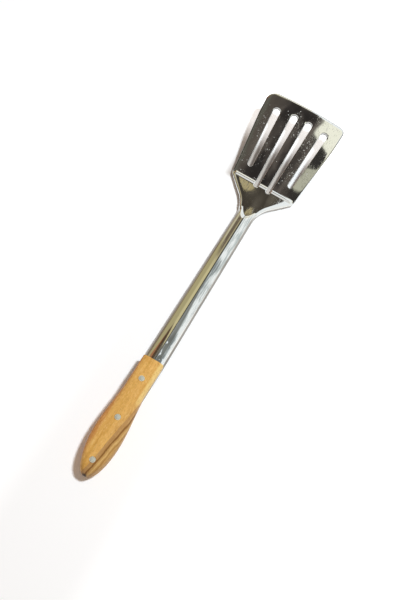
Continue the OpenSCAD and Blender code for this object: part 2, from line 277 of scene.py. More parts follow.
# %% A node tree with one method for every other node
class Shader:
    """One node tree, with a single method that adds any other node."""

    def __init__(self, owner):
        owner.use_nodes = True
        self.tree = owner.node_tree
        self.tree.nodes.clear()

    def node(self, kind, settings=None, **sockets):
        """Adds a node, sets its settings, then the values or links of its sockets."""
        node = self.tree.nodes.new("ShaderNode" + kind)
        for name, value in (settings or {}).items():
            setattr(node, name, value)
        for name, value in sockets.items():
            place = int(name[1:]) if name[1:].isdigit() else name.replace("_", " ")
            socket = node.inputs[place]
            if isinstance(value, Sock):
                self.tree.links.new(value.socket, socket)
            else:
                socket.default_value = value
        return node

    def out(self, node, name=0):
        return Sock(self.tree, node.outputs[name])

    def mix(self, share, one, two):
        """Colour one where share is 0, colour two where it is 1."""
        node = self.node("Mix", {"data_type": "RGBA"}, _0=share)
        for place, value in ((6, one), (7, two)):
            if isinstance(value, Sock):
                self.tree.links.new(value.socket, node.inputs[place])
            else:
                node.inputs[place].default_value = value
        return Sock(self.tree, node.outputs[2])

    def place(self):
        """The x, y and z of Object coordinates, in metres."""
        coordinates = self.node("TexCoord")
        self.position = self.out(coordinates, "Object")
        split = self.node("SeparateXYZ", _0=self.position)
        return [self.out(split, axis) for axis in range(3)]

    def noise(self, vector, scale, detail=2.0, roughness=0.5):
        sizes = {"Scale": scale, "Detail": detail, "Roughness": roughness}
        return self.out(self.node("TexNoise", None, Vector=vector, **sizes))

    def stretched(self, vector, scale, turn=(0.0, 0.0, 0.0)):
        """The place, drawn out or squeezed along each axis, for streaks and grain."""
        return self.out(self.node("Mapping", None, Vector=vector, Scale=scale, Rotation=turn))


print("node trees ready")

# %% [markdown]
# A colour is easy to name as a screen shows it, 0 to 255 for each lamp of the screen. Where a
# plain share of light is meant, as for a grey or a glow, it is given as a linear number.


# %% Colours
def paint(red, green, blue):
    """A colour as it is read off a screen, 0 to 255, as the linear colour that a node takes."""
    linear = []
    for value in (red, green, blue):
        share = value / 255
        linear.append(share / 12.92 if share <= 0.04045 else ((share + 0.055) / 1.055) ** 2.4)
    return (*linear, 1.0)


def plain(red, green=None, blue=None):
    """A linear colour as a node takes it; one number alone gives a grey."""
    return (red, red if green is None else green, red if blue is None else blue, 1.0)


print("middle grey is", round(paint(128, 128, 128)[0], 3))

# %% [markdown]
# ## What the steel mirrors
# A studio photographer shapes polished steel with cards and black cloth, because the metal only
# shows what stands around it. The world does that here. It is a picture on a far sphere, and a
# mirror ray reads it by its direction: east along the tool, north to its left, and up. Noise
# makes the edges of the cards ragged, as hammered and buffed steel shows them.

# %% Directions
world = bpy.data.worlds.new("studio")
bpy.context.scene.world = world
studio = Shader(world)
coordinates = studio.node("TexCoord")
direction = studio.out(coordinates, "Generated")
split = studio.node("SeparateXYZ", _0=direction)
east, north, up = (studio.out(split, axis) for axis in range(3))
ragged = studio.noise(direction, 55.0, 3.0) - 0.5
broad = studio.noise(direction, 7.0, 2.0) - 0.5
print("the world reads", len(studio.tree.nodes), "nodes so far")

# %% [markdown]
# The black cloth comes first. It hangs overhead as a long strip, and the flat blade and throat
# mirror it, which gives them their dark grey. Each edge is a soft step of one direction.

# %% The dark strip overhead
gap_start = 0.0515 + (east + ragged * 0.01).step(0.128, 0.136) * 0.005 * east.step(0.3, 0.25)
past_gap = (north - gap_start + ragged * 0.010).step(-0.001, 0.0015)
gap_end = 0.112 + east.step(0.50, 0.56) * 0.020
before_gap = (gap_end - north + broad * 0.02).step(-0.0015, 0.0015)
gap = past_gap * before_gap * east.step(0.70, 0.67)
print("dark strip between north 0.05 and 0.13")

# %% [markdown]
# To the right stands a white wall. Near the zenith it is dark but for two pale panes, and the
# blade mirrors those as the two cream patches along its right side.

# %% White wall on the right
pane = (east + ragged * 0.016 - (north - 0.044) * 0.5).step(0.132, 0.1335)
ragged_east = east + ragged * 0.014
small_pane = ragged_east.step(0.084, 0.0852) * ragged_east.step(0.113, 0.1115)
low_wall = east.step(0.22, 0.34).high(up.step(0.93, 0.80))
pane_light = studio.mix(pane, paint(186, 186, 168), paint(252, 252, 236))
pane_color = studio.mix(pane.high(small_pane), paint(54, 52, 50), pane_light)
right_wall = studio.mix(low_wall, pane_color, plain(0.93, 0.97, 1.0))
print("right wall ready")

# %% [markdown]
# To the left stands a warm wall, which the rounded shaft mirrors along its length: orange brown
# near the handle with a dark tip, olive past the middle, brown at the neck, and bright beyond.

# %% Warm wall on the left
near_handle = studio.mix(north.step(0.22, 0.28), paint(118, 116, 106), paint(88, 68, 52))
near_handle = studio.mix(north.step(0.50, 0.58), near_handle, paint(166, 116, 82))
middle = studio.mix(north.step(0.30, 0.50), paint(206, 196, 152), paint(176, 166, 126))
neck = studio.mix(north.step(0.22, 0.30), paint(170, 160, 130), paint(112, 100, 84))
neck = studio.mix(north.step(0.62, 0.72), neck, paint(196, 188, 160))
dark_tip = (north - 0.38).size() * 0.10
toward_neck = studio.mix((east + dark_tip + ragged * 0.006).step(0.434, 0.442), near_handle, middle)
toward_neck = studio.mix((east - north * 0.03).step(0.485, 0.505), toward_neck, neck)
corner_patch = (east + ragged * 0.01).step(0.592, 0.598) * north.step(0.16, 0.14)
throat_side = studio.mix(corner_patch, paint(70, 65, 57), paint(178, 166, 126))
throat_side = studio.mix(north.step(0.13, 0.17), throat_side, paint(246, 244, 232))
toward_neck = studio.mix(east.step(0.555, 0.565), toward_neck, throat_side)
left_low = studio.mix(east.step(0.66, 0.69), toward_neck, paint(252, 250, 240))
left_wall = studio.mix(east.step(0.30, 0.20), left_low, paint(96, 94, 86))
print("left wall ready")

# %% [markdown]
# The cloth itself isn't even. A veil of stretched noise clouds it, and two tan spots hang in it,
# one that shows under the left end of the bead and one in the bowl where the throat ends.

# %% Clouds and spots in the dark strip
veil = studio.noise(studio.stretched(direction, (22.0, 60.0, 1.0)), 1.0, 4.0, 0.6).step(0.40, 0.75)
over_blade = studio.mix(veil, paint(46, 43, 42), paint(112, 104, 98))
past_blade = (north + broad * 0.03).step(0.092, 0.112) * 0.6
over_blade = studio.mix(past_blade, over_blade, paint(100, 92, 84))
over_throat = studio.mix(veil, paint(64, 59, 52), paint(104, 98, 88))
gap_color = studio.mix(east.step(0.2, 0.38), over_blade, over_throat)
spot_east, spot_north = (east - 0.6125) * 230.0, (north - 0.0955 + ragged * 0.004) * 92.0
tan_spot = (spot_east * spot_east + spot_north * spot_north).step(1.15, 0.85)
bowl_east, bowl_north = (east - 0.594) * 200.0, (north - 0.0790 + ragged * 0.002) * 380.0
bowl_spot = (bowl_east * bowl_east + bowl_north * bowl_north).step(1.2, 0.8)
tan_spot = tan_spot.high(bowl_spot)
gap_color = studio.mix(tan_spot, gap_color, paint(180, 167, 128))
print("clouds and spots ready")

# %% [markdown]
# The walls are joined, and light paths share them out. Mirror rays see the walls, the camera
# sees a white backdrop, and everything else gets a dim warm fill that tints the shadow.

# %% Who sees what
sides = studio.mix(north.step(0.066, 0.070), right_wall, left_wall)
ahead = studio.mix(gap, sides, gap_color)
behind = studio.mix(broad.step(-0.1, 0.2), plain(0.72), plain(1.0))
mirrored = studio.mix(east.step(0.0, -0.12), ahead, behind)

light_path = studio.node("LightPath")
seen_by_camera = studio.out(light_path, "Is Camera Ray")
seen_in_mirror = studio.out(light_path, "Is Glossy Ray")
seen_in_mirror = seen_in_mirror.high(studio.out(light_path, "Is Transmission Ray"))
around = studio.mix(seen_in_mirror, plain(0.265, 0.19, 0.135), mirrored)
backdrop = studio.mix(seen_by_camera, around, plain(1.0))
sky = studio.node("Background", None, Color=backdrop, Strength=1.0)
studio.node("OutputWorld", None, Surface=studio.out(sky))
print("world ready,", len(studio.tree.nodes), "nodes")

# %% [markdown]
# ## The lamp
# One small soft lamp stands to the right and in front of the tool, high up, so the handle drops
# a short shadow to its left. It is hidden from mirror rays: in the steel it would only be a
# white glint along each rounded edge, and the white wall already gives those.

# %% Lamp
LAMP_PLACE = (0.30, -0.46, 1.6)
LAMP_SIZE = 0.22
LAMP_POWER = 25.6
LAMP_COLOR = (0.86, 0.94, 1.0)


def soft_lamp(name, place, size, power, color):
    """A square lamp that faces the middle of the tool and leaves the mirrors alone."""
    data = bpy.data.lights.new(name, "AREA")
    data.size = size
    data.energy = power
    data.color = color
    lamp = bpy.data.objects.new(name, data)
    lamp.location = place
    lamp.rotation_mode = "QUATERNION"
    lamp.rotation_quaternion = (-Vector(place)).to_track_quat("-Z", "Y")
    lamp.visible_glossy = False
    bpy.context.scene.collection.objects.link(lamp)
    return lamp


soft_lamp("key_lamp", LAMP_PLACE, LAMP_SIZE, LAMP_POWER, LAMP_COLOR)
print("lamp", LAMP_POWER, "W")

# %% [markdown]
# ## The pressed sheet
# The real sheet is stamped flat and then pressed in one stroke: flat blade, bead across the
# heel, hollow throat, crowned shaft and tang. A flat grid whose points are then moved to
# their pressed places is the closest thing to that in Blender. It is closed like a flattened
# tube, with the upper skin and the lower skin joined along their edges, so that the sheet has
# its real thickness everywhere. Its columns stand closer together towards the edges, where the
# section bends most.


# %% Rises and roots
def rise(u):
    """0 to 1, level at both ends."""
    u = np.clip(u, 0.0, 1.0)
    return (1 - np.cos(np.pi * u)) / 2


def quick_rise(u):
    """0 to 1, quick at first and level at the end."""
    u = np.clip(u, 0.0, 1.0)
    return (np.sin(np.pi / 2 * u) + rise(u)) / 2


def between(a, b, u):
    """a where u is 0, b where it is 1."""
    return a + (b - a) * u


def root(v):
    """A square root that takes a hair below 0 as 0."""
    return np.sqrt(np.maximum(0.0, v))


print("a rise is halfway up at", float(rise(0.5)))

# %% [markdown]
# Seen from above, the throat's side is a sweep, a straight flare and a round shoulder. Seen from
# the side, the crown of the shaft runs level into the throat, and the flanges turn down to the
# table. The next functions give that plan and profile at any place along the tool.

# %% Plan of the steel
FLARE_L = (BLADE_ROOT_HW - NECK_HW) / math.tan(THROAT_FLARE)
FLARE_X = HEEL_X - FLARE_L - SHOULDER_R * math.tan(THROAT_FLARE / 2) / 2
SHOULDER_CX = FLARE_X + FLARE_L + SHOULDER_R * math.tan(THROAT_FLARE / 2)
SWEEP_CX = FLARE_X - SWEEP_R * math.tan(THROAT_FLARE / 2)


def shaft_hw(x):
    """Half width of the shaft, which widens a little towards the handle."""
    return between(NECK_HW, JOINT_HW, np.clip((NECK_X - x) / SHAFT_L, 0.0, 1.0))


def steel_hw(x):
    """Half width of the sheet from the tang to the heel."""
    if x > SHOULDER_CX - SHOULDER_R * math.sin(THROAT_FLARE):
        return BLADE_ROOT_HW - SHOULDER_R + root(SHOULDER_R**2 - min(0.0, x - SHOULDER_CX) ** 2)
    if x > SWEEP_CX + SWEEP_R * math.sin(THROAT_FLARE):
        return NECK_HW + (x - FLARE_X) * math.tan(THROAT_FLARE)
    if x > SWEEP_CX:
        return shaft_hw(x) + SWEEP_R - root(SWEEP_R**2 - (x - SWEEP_CX) ** 2)
    if x > FLANGE_END_X:
        return shaft_hw(x)
    return between(JOINT_HW, TANG_END_HW, (FLANGE_END_X - x) / (FLANGE_END_X - TANG_X))


print("half width at the neck", round(float(steel_hw(NECK_X)), 2))

# %% [markdown]
# The profile is the height of the throat, of the crown and of the flange's edge. In the handle
# that edge rises to a little below the underside of the flat tang.

# %% Profile of the steel
EDGE_BELOW_TANG = 0.35 * SHEET_T


def throat_top(x):
    """Height of the flat throat's upper face."""
    return between(THROAT_Z, HEEL_Z + SHEET_T / 2, (x - NECK_X) / THROAT_L)


def crown_top(x):
    """Height of the crown of the shaft, or of the flat tang behind it."""
    return between(NECK_H, JOINT_H, np.clip((NECK_X - x) / SHAFT_L, 0.0, 1.0))


def steel_edge(x):
    """Height of the lower edge of the flanges."""
    if x > NECK_X:
        return (HEEL_Z + SHEET_T / 2 - LIP_DROP) * rise((x - NECK_X) / THROAT_L)
    return (TANG_LOW - EDGE_BELOW_TANG) * rise((JOINT_X - x) / TANG_FLANGE)


print("flange edge at the heel", round(float(steel_edge(HEEL_X)), 2))

# %% [markdown]
# Every section of the sheet is one kind of curve, a superellipse. A low exponent gives the round
# crown of the shaft, a high one the flat blade with sharp edges. Points are spread along the
# curve by its length, and 721 fine steps are enough to measure that length.

# %% Sections of the sheet
CROWNED = 2.3
FLAT_TANG = 9.0
FLAT_BLADE = 16.0
SHARP_BLADE = 60.0
EDGE_CROWDING = 0.55


def arch(right, left, low, top, power, count):
    """Points (y, z) over a rounded section from right to left, closer towards its edges."""
    a = np.linspace(0.0, math.pi, 721)
    c, s = np.cos(a), np.maximum(0.0, np.sin(a))
    y = -np.sign(c) * np.abs(c) ** (2 / power)
    y = y * np.where(y < 0, right, left)
    z = low + (top - low) * s ** (2 / power)
    length = np.concatenate([[0.0], np.cumsum(np.hypot(np.diff(y), np.diff(z)))])
    share = np.linspace(0.0, 1.0, count)
    spread = length[-1] * between(share, (1 - np.cos(np.pi * share)) / 2, EDGE_CROWDING)
    return np.stack([np.interp(spread, length, y), np.interp(spread, length, z)], axis=1)


print("arch points", len(arch(1.0, 1.0, 0.0, 1.0, CROWNED, 9)))

# %% [markdown]
# The grid is Blender's own primitive. Its points are moved to the rows of a piece, points that
# fall together are merged, and the normals are turned outwards, as a modeller would do by hand.


# %% A piece from a grid
def grid_piece(name, rows):
    """A piece from a flat grid whose points are moved to rows of places, in millimetres."""
    rows = np.asarray(rows, float)
    along, across = rows.shape[:2]
    bpy.ops.object.select_all(action="DESELECT")
    bpy.ops.mesh.primitive_grid_add(x_subdivisions=across - 1, y_subdivisions=along - 1, size=1)
    piece = bpy.context.object
    piece.name = piece.data.name = name
    piece.data.vertices.foreach_set("co", (rows.reshape(-1) * MM).astype(np.float32))
    piece.data.update()
    bpy.ops.object.mode_set(mode="EDIT")
    bpy.ops.mesh.select_all(action="SELECT")
    bpy.ops.mesh.remove_doubles(threshold=1e-7)
    bpy.ops.mesh.normals_make_consistent(inside=False)
    bpy.ops.object.mode_set(mode="OBJECT")
    print(name, len(piece.data.polygons), "faces")
    return piece


def closed_ring(outer, inner):
    """Upper skin from right to left, lower skin back again, and the first point once more."""
    return np.concatenate([outer, inner[::-1], outer[:1]])


def pinched(ring, count):
    """A ring shut flat between its two skins, which closes the end of the tube."""
    outer, inner = ring[:count], ring[count : 2 * count][::-1]
    middle = (outer + inner) / 2
    return closed_ring(middle, middle)


print("helpers for rings ready")

# %% [markdown]
# From tang to heel a row is a crowned section, a flat one, or a blend of both. Where the hollow
# throat ends, the blend is later at the sides, so the hollow ends in a round bowl. The bead is a
# small raised wave on both skins across the heel.

# %% Rows from the tang to the heel
ACROSS = 73
BOWL_START = NECK_X - 4.0
BOWL_SLOPE = 5.0
BOWL_HW = 6.0
BOWL_DELAY = NECK_X + CROWN_STEP - BOWL_SLOPE - BOWL_START


def bead(points, x):
    """Raises both skins over the bead that crosses the heel."""
    height = BEAD_RISE * (1 - rise(abs(x) / BEAD_HALF_W))
    inside = rise((BLADE_ROOT_HW - BEAD_END_GAP - np.abs(points[:, 1])) / BEAD_END_RUN)
    points = points.copy()
    points[:, 2] += height * inside
    return points


def skins(x, top, power):
    """Upper and lower skin of the sheet at one place, for a section of one exponent."""
    hw, low = steel_hw(x), steel_edge(x)
    outer = arch(hw, hw, low, top, power, ACROSS)
    inner = arch(hw - SHEET_T, hw - SHEET_T, low, top - SHEET_T, power, ACROSS)
    return closed_ring(outer, inner)


def sheet_row(x):
    """Ring of the sheet between the tang and the heel."""
    if x <= BOWL_START:
        power = between(CROWNED, FLAT_TANG, rise((JOINT_X - x) / TANG_FLATTEN))
        ring = skins(x, crown_top(x), power)
    else:
        crowned = skins(x, crown_top(x), CROWNED)
        flat = skins(x, throat_top(x), FLAT_BLADE)
        delay = BOWL_DELAY * np.minimum(1.0, (crowned[:, 0] / BOWL_HW) ** 2)
        share = rise((x - BOWL_START - delay) / BOWL_SLOPE)
        ring = between(crowned, flat, share[:, None])
    return bead(np.column_stack([np.full(len(ring), x), ring]), x - HEEL_X)


print("points in a ring", len(sheet_row(NECK_X)))

# %% [markdown]
# The blade widens to its bowed front edge and has two round corners. The front edge is ground to
# a bevel on the upper face, which goes round the corners and runs out along the sides. The blade
# is laid out flat first and then turned up about the heel.

# %% Rows of the blade
SIDE_BEVEL_W = 1.4
SIDE_BEVEL_L = 34.0
SIDE_BEVEL_RUN = 26.0


def front_bow(y):
    """How far the bowed front edge lies behind its middle."""
    return FRONT_EDGE_R - np.sqrt(FRONT_EDGE_R**2 - y**2)


def blade_hw(s, radius):
    """Half width of the blade, with a round front corner of one radius."""
    side = between(BLADE_ROOT_HW, BLADE_TIP_HW, quick_rise(s / BLADE_L))
    side += steel_hw(HEEL_X + s) - BLADE_ROOT_HW
    return side - radius + root(radius**2 - max(0.0, s - BLADE_L + radius) ** 2)


def blade_row(s, pitch=BLADE_PITCH):
    """Ring of the blade at a distance s in front of the heel."""
    right, left = blade_hw(s, CORNER_RIGHT_R), blade_hw(s, CORNER_LEFT_R)
    low = -SHEET_T / 2 - (LIP_DROP - SHEET_T) * (1 - rise(s / LIP_RUN))
    face = SHEET_T / 2 - (SHEET_T - BEVEL_LAND) * max(0.0, s - BLADE_L + BEVEL_W) / BEVEL_W
    power = between(FLAT_BLADE, SHARP_BLADE, rise(s / LIP_RUN))
    outer = arch(right, left, low, face, power, ACROSS)
    inner = arch(right - SHEET_T, left - SHEET_T, low, -SHEET_T / 2, power, ACROSS)
    from_side = np.minimum(outer[:, 0] + right, left - outer[:, 0])
    ground = (SHEET_T - BEVEL_LAND) * np.clip(1 - from_side / SIDE_BEVEL_W, 0.0, 1.0)
    ground = ground * rise((s - BLADE_L + SIDE_BEVEL_L) / SIDE_BEVEL_RUN)
    outer[:, 1] = np.maximum(np.minimum(outer[:, 1], SHEET_T / 2 - ground), low)
    ring = closed_ring(outer, inner)
    flat = bead(np.column_stack([s - front_bow(ring[:, 0]) * s / BLADE_L, ring]), s)
    turn, lift = math.cos(pitch), math.sin(pitch)
    return np.column_stack(
        [
            HEEL_X + flat[:, 0] * turn - flat[:, 2] * lift,
            flat[:, 1],
            HEEL_Z + flat[:, 0] * lift + flat[:, 2] * turn,
        ]
    )


print("blade half width at the front", round(float(blade_hw(BLADE_L - 20, 1.0)), 2))

# %% [markdown]
# Rows stand close together where the sheet bends along its length: round the corners, over the
# bead, in the bowl and where the crown flattens to the tang. The ring at each end is pinched
# shut, and the whole is one grid that is closed without a seam.

# %% The sheet
widest_corner = max(CORNER_LEFT_R, CORNER_RIGHT_R)
blade_places = np.concatenate(
    [
        BLADE_L - widest_corner * (1 - np.sin(np.linspace(90, 6, 17) * math.pi / 180)),
        np.linspace(BLADE_L - widest_corner, LIP_RUN, 22),
        np.linspace(LIP_RUN - 0.6, 3.0, 8),
        np.linspace(2.7, 0.3, 9),
    ]
)
sheet_places = np.concatenate(
    [
        HEEL_X - np.linspace(0.3, 2.7, 9),
        np.linspace(HEEL_X - 3.1, NECK_X + CROWN_STEP, 30),
        np.linspace(NECK_X + CROWN_STEP - 0.4, BOWL_START, 32),
        np.linspace(BOWL_START - 3, JOINT_X + 2, 10),
        np.linspace(JOINT_X, JOINT_X - TANG_FLATTEN, 10),
        np.linspace(JOINT_X - TANG_FLATTEN - 3, FLANGE_END_X, 10),
        np.linspace(FLANGE_END_X - 4, TANG_X, 8),
    ]
)
rows = [blade_row(s) for s in blade_places] + [blade_row(0.0, BLADE_PITCH / 2)]
rows += [sheet_row(x) for x in sheet_places]
rows = [pinched(rows[0], ACROSS)] + rows + [pinched(rows[-1], ACROSS)]
sheet = grid_piece("pressed_sheet", rows)
print("sheet:", len(sheet.data.polygons), "faces")

# %% [markdown]
# ## The slots
# Each slot is punched with a round-ended, slightly tapered punch, and the front end is
# pressed down to a soft rim. The four slots are two mirrored pairs, and their places are given
# in the plane of the blade, from the heel forwards and from the middle outwards.

# %% Slot cutters
SLOT_FRONT_R = 3.2
SLOT_RIM_W = 1.3
SLOT_RIM_DEPTH = 0.55
# Each slot has its front end, its heel end and the radius of that heel end.
INNER_SLOT = ((BLADE_L - 12.8, 7.5), (-3.4, 6.2), 1.8)
OUTER_SLOT = ((BLADE_L - 15.2, 24.9), (11.6, 20.8), 2.3)
SLOTS = []
for side in (1, -1):
    for (front_s, front_y), (heel_s, heel_y), heel_r in (INNER_SLOT, OUTER_SLOT):
        SLOTS.append(((front_s, side * front_y), (heel_s, side * heel_y), heel_r))
print(len(SLOTS), "slots")


def slot_outline(front, heel, heel_r, grow_front, grow_side):
    """Points round a tapered slot; the two ends are given in the plane of the blade."""
    front, heel = np.array(front), np.array(heel)
    along = (front - heel) / np.linalg.norm(front - heel)
    beside = np.array([-along[1], along[0]])
    front_c, heel_c = front - along * SLOT_FRONT_R, heel + along * heel_r
    angles = np.linspace(-90, 90, 33) * math.pi / 180
    points = []
    for a in angles:
        grow = between(grow_side, grow_front, math.cos(a) ** 0.5 if math.cos(a) > 0 else 0.0)
        around_front = math.cos(a) * along + math.sin(a) * beside
        points.append(front_c + (SLOT_FRONT_R + grow) * around_front)
    for a in angles + math.pi:
        points.append(heel_c + (heel_r + grow_side) * (math.cos(a) * along + math.sin(a) * beside))
    return np.array(points)


def on_blade(points, z):
    """Points of the plane of the blade at a height over its middle, as places in space."""
    s, y = points[:, 0], points[:, 1]
    turn, lift = math.cos(BLADE_PITCH), math.sin(BLADE_PITCH)
    return np.column_stack([HEEL_X + s * turn - z * lift, y, HEEL_Z + s * lift + z * turn])


# %% [markdown]
# A cutter is a stack of outlines. It is straight through the sheet and flares where it leaves
# the upper face, so each slot gets a soft rim there. Its two ends are closed at their middle.


# %% One cutter for each slot
def slot_cutter(number, front, heel, heel_r):
    """A closed cutter with straight sides and a mouth that flares to the soft rim."""
    face = SHEET_T / 2
    # Height over the middle of the sheet, and how far the outline grows in front and beside.
    levels = [
        (-4.0, 0.0, 0.0),
        (face - SLOT_RIM_DEPTH - 0.35, 0.0, 0.0),
        (face - SLOT_RIM_DEPTH, 0.06, 0.03),
        (face - SLOT_RIM_DEPTH * 0.7, 0.22, 0.08),
        (face - SLOT_RIM_DEPTH * 0.42, 0.5, 0.16),
        (face - SLOT_RIM_DEPTH * 0.18, 0.9, 0.26),
        (face + 0.02, SLOT_RIM_W, 0.42),
        (face + 0.3, SLOT_RIM_W + 1.2, 0.9),
        (face + 3.0, SLOT_RIM_W + 1.2, 0.9),
    ]
    rings = []
    for z, grow_front, grow_side in levels:
        ring = on_blade(slot_outline(front, heel, heel_r, grow_front, grow_side), z)
        rings.append(np.concatenate([ring, ring[:1]]))
    centre_low, centre_high = rings[0][:-1].mean(axis=0), rings[-1][:-1].mean(axis=0)
    rings = [np.tile(centre_low, (len(rings[0]), 1))] + rings
    rings.append(np.tile(centre_high, (len(rings[0]), 1)))
    return grid_piece(f"slot_cutter_{number}", rings)


print("a cutter flares to", SLOT_RIM_W, "mm past the slot's front end")

# %% [markdown]
# A Boolean cut costs more the more often it runs, so the four cutters are joined and taken from
# the sheet at once. Two of them cross the bead, and their flared mouths lie close together,
# which is why the cut also looks for faces that cross within the cutter.


# %% Cut the slots
def cut(piece, cutter, crossing=False):
    """Takes the cutter's volume from the piece and deletes the cutter."""
    modifier = piece.modifiers.new("cut", "BOOLEAN")
    modifier.operation = "DIFFERENCE"
    modifier.solver = "EXACT"
    modifier.use_self = crossing
    modifier.object = cutter
    bpy.ops.object.select_all(action="DESELECT")
    bpy.context.view_layer.objects.active = piece
    piece.select_set(True)
    bpy.ops.object.modifier_apply(modifier=modifier.name)
    bpy.data.objects.remove(cutter)


cutters = [slot_cutter(number, *slot) for number, slot in enumerate(SLOTS)]
bpy.ops.object.select_all(action="DESELECT")
for cutter in cutters:
    cutter.select_set(True)
bpy.context.view_layer.objects.active = cutters[0]
bpy.ops.object.join()
cut(sheet, cutters[0], crossing=True)
print("sheet with slots:", len(sheet.data.polygons), "faces")

# %% [markdown]
# Smooth shading hides the rows of a bent sheet, but a sharp edge has to stay sharp. The flat
# faces get their own normals by weight of area, or the mirror image in them would bend.


# %% Smooth shading that keeps flat faces flat
def smooth(piece, angle):
    """Smooth shading across edges up to an angle."""
    bpy.ops.object.select_all(action="DESELECT")
    bpy.context.view_layer.objects.active = piece
    piece.select_set(True)
    bpy.ops.object.shade_smooth_by_angle(angle=math.radians(angle))


def keep_flats(piece):
    """Normals by weight of area, so that a flat face mirrors as a flat one."""
    modifier = piece.modifiers.new("flats", "WEIGHTED_NORMAL")
    modifier.weight = 80
    modifier.keep_sharp = True
    bpy.context.view_layer.objects.active = piece
    bpy.ops.object.modifier_apply(modifier=modifier.name)


smooth(sheet, 32)
keep_flats(sheet)
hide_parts("steel_pressing")
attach(sheet, "root")
print("the sheet stands for steel_pressing")

# %% [markdown]
# ## The wooden scales
# Each scale is a strip of wood, rounded on its outer side and flat where it meets the tang.
# Both are shaped together on the real tool, so both follow one rounded outline here, and each
# takes its own side of the plane of the tang.

# %% Outline of the handle
END_POWER = 2.4


def grip_hw(x):
    """Half width of the handle: a straight front, a swell and a round end."""
    if x > WIDEST_X:
        swell = quick_rise((JOINT_X - GRIP_STRAIGHT - x) / (HANDLE_L - GRIP_STRAIGHT - GRIP_END))
        return between(GRIP_FRONT_HW, GRIP_SWELL_HW, swell)
    return GRIP_SWELL_HW * root(1 - ((x - WIDEST_X) / GRIP_END) ** 2)


def end_share(x):
    """1 along the handle, down to 0 over its rounded end."""
    return root(1 - (max(0.0, END_X + END_ROUND - x) / END_ROUND) ** END_POWER)


def grip_top(x):
    """Height of the handle's upper side along its middle."""
    full = between(SCALE_FRONT_Z, GRIP_H, rise((JOINT_X - x) / SCALE_RISE))
    return JOINT_H + (full - JOINT_H) * end_share(x)


def grip_low(x):
    """Lowest height of the handle, before it is planed at the table."""
    return JOINT_H - (JOINT_H + BACK_PLANED) * end_share(x)


def grip_y(x):
    """Side place of the middle of the handle, whose end leans a little to the right."""
    return -GRIP_LEAN * (max(0.0, JOINT_X - GRIP_STRAIGHT - x) / (HANDLE_L - GRIP_STRAIGHT)) ** 2


print("handle height", round(float(grip_top(WIDEST_X) - grip_low(WIDEST_X)), 2))

# %% [markdown]
# A section of the top scale is a rounded half with a flat underside. At its front the underside
# is a saddle, which is carved to fit over the crowned sheet with a hair of clearance. The back
# scale is the lower half, planed level where the tool rests on the table.

# %% Sections of the scales
GRIP_POWER = 4.2
HALF_ROUND = 49
SIDE_POINTS = 5
TANG_CLEAR = 0.15


def crown_height(x, y):
    """Height that the upper skin of the sheet, with its clearance, reaches at a side place."""
    power = between(CROWNED, FLAT_TANG, rise((JOINT_X - x) / TANG_FLATTEN))
    share = np.minimum(1.0, np.abs(y) / (steel_hw(x) + TANG_CLEAR))
    return JOINT_H * (1 - share**power) ** (1 / power)


def top_ring(x):
    """Section of the top scale: its rounded upper side, and an underside that fits the sheet."""
    hw = grip_hw(x)
    over = arch(hw, hw, JOINT_H, grip_top(x), GRIP_POWER, HALF_ROUND)
    y = np.linspace(hw, -hw, HALF_ROUND)
    under = np.full(HALF_ROUND, JOINT_H)
    if x >= JOINT_X - TANG_FLATTEN:
        under = np.maximum(JOINT_H - SADDLE_DROP, crown_height(x, y))
    down = np.linspace(JOINT_H, under[0], SIDE_POINTS)
    left = np.column_stack([np.full(SIDE_POINTS, hw), down])
    right = left[::-1] * [-1.0, 1.0]
    ring = np.concatenate([right, over, left, np.column_stack([y, under]), right[:1]])
    ring = ring + [grip_y(x), 0.0]
    return np.column_stack([np.full(len(ring), x), ring])


def back_ring(x):
    """Section of the back scale: flat against the tang, planed flat where the tool rests."""
    over = arch(grip_hw(x), grip_hw(x), JOINT_H, grip_low(x), GRIP_POWER, HALF_ROUND)
    over[:, 1] = np.maximum(over[:, 1], 0.0)
    flat = np.column_stack([over[:, 0], np.full(len(over), JOINT_H)])
    ring = closed_ring(over, flat) + [grip_y(x), 0.0]
    return np.column_stack([np.full(len(ring), x), ring])


def closed_end(ring):
    """All points of a ring drawn in to its middle."""
    return np.tile(ring[:-1].mean(axis=0), (len(ring), 1))


print("points in a scale's ring", len(top_ring(WIDEST_X)))

# %% [markdown]
# The rows stand closest at the saddle and round the end, where a sine spreads them by angle.

# %% The two scales
saddle_end = JOINT_X - TANG_FLATTEN
scale_places = np.concatenate(
    [
        np.linspace(JOINT_X, saddle_end, 14),
        np.linspace(saddle_end - 0.01, JOINT_X - GRIP_STRAIGHT, 10),
        np.linspace(JOINT_X - GRIP_STRAIGHT - 2, WIDEST_X, 24),
        WIDEST_X - GRIP_END * np.sin(np.radians(np.linspace(3, 89.2, 34))),
    ]
)


def scale_body(name, ring_at):
    """A scale from its sections, with both ends closed."""
    rings = [ring_at(x) for x in scale_places]
    return grid_piece(name, [closed_end(rings[0])] + rings + [closed_end(rings[-1])])


top_scale = scale_body("top_wood", top_ring)
back_scale = scale_body("back_wood", back_ring)
print("scales:", len(top_scale.data.polygons), "and", len(back_scale.data.polygons), "faces")

# %% [markdown]
# The flanges of the tang sink into the back scale. The maker routs a slot for them, and the
# scene cuts the same room with a cutter that has the section of the sheet and its clearance.

# %% Room for the tang
ROOM_ABOVE = 15.0


def room_ring(x):
    """Section of the room round the flanges, open at the top of the back scale."""
    low, hw = steel_edge(x) - TANG_CLEAR, steel_hw(x) + TANG_CLEAR
    power = between(CROWNED, FLAT_TANG, rise((JOINT_X - x) / TANG_FLATTEN))
    inner_hw = hw - SHEET_T - 2 * TANG_CLEAR
    outer = arch(hw, hw, low, JOINT_H + ROOM_ABOVE, FLAT_TANG, HALF_ROUND)
    inner = arch(inner_hw, inner_hw, low, JOINT_H - SHEET_T, power, HALF_ROUND)
    ring = closed_ring(outer, inner)
    return np.column_stack([np.full(len(ring), x), ring])


